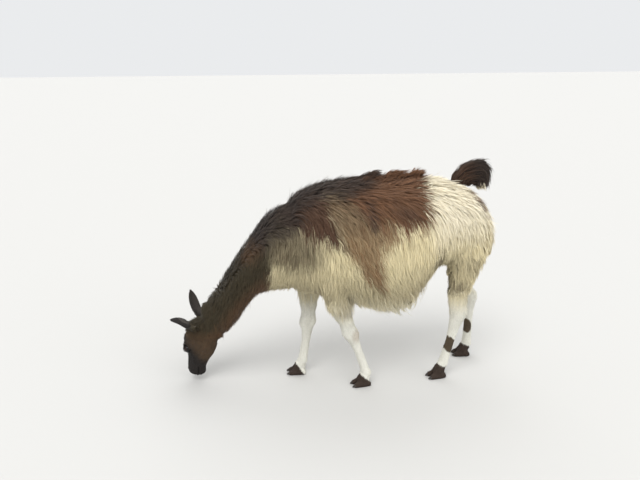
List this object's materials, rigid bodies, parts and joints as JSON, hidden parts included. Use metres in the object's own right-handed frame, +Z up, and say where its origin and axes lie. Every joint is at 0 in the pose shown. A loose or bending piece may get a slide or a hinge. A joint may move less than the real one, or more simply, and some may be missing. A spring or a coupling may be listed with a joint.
{
  "type": "llama",
  "caption": "A grazing llama at life size, head down to the grass, with a long two-coloured fleece, white legs and a raised tail.",
  "frame": {"origin": "on the floor, under the middle of the animal's bounding box", "axes": "the llama faces -X with its left side on -Y; +Z is up"},
  "size_m": [1.6208, 0.4916, 1.1023],
  "materials": {
    "cream_fleece": "matte wool",
    "brown_fleece": "matte wool",
    "dark_hair": "short glossy hair",
    "white_hair": "short matte hair",
    "foot_hair": "short matte hair",
    "nail": "satin horn",
    "eye": "wet gloss"
  },
  "bodies": {
    "root": {"trunk": "cream_fleece", "neck": "brown_fleece", "head": "dark_hair", "ear_left": "dark_hair", "ear_right": "dark_hair", "eye_left": "eye", "eye_right": "eye", "tail": "dark_hair", "leg_front_left": "white_hair", "foot_front_left": "foot_hair", "nail_front_left_inner": "nail", "nail_front_left_outer": "nail", "leg_front_right": "white_hair", "foot_front_right": "foot_hair", "nail_front_right_inner": "nail", "nail_front_right_outer": "nail", "leg_hind_left": "white_hair", "foot_hind_left": "foot_hair", "nail_hind_left_inner": "nail", "nail_hind_left_outer": "nail", "leg_hind_right": "white_hair", "foot_hind_right": "foot_hair", "nail_hind_right_inner": "nail", "nail_hind_right_outer": "nail"}
  },
  "joints": []
}
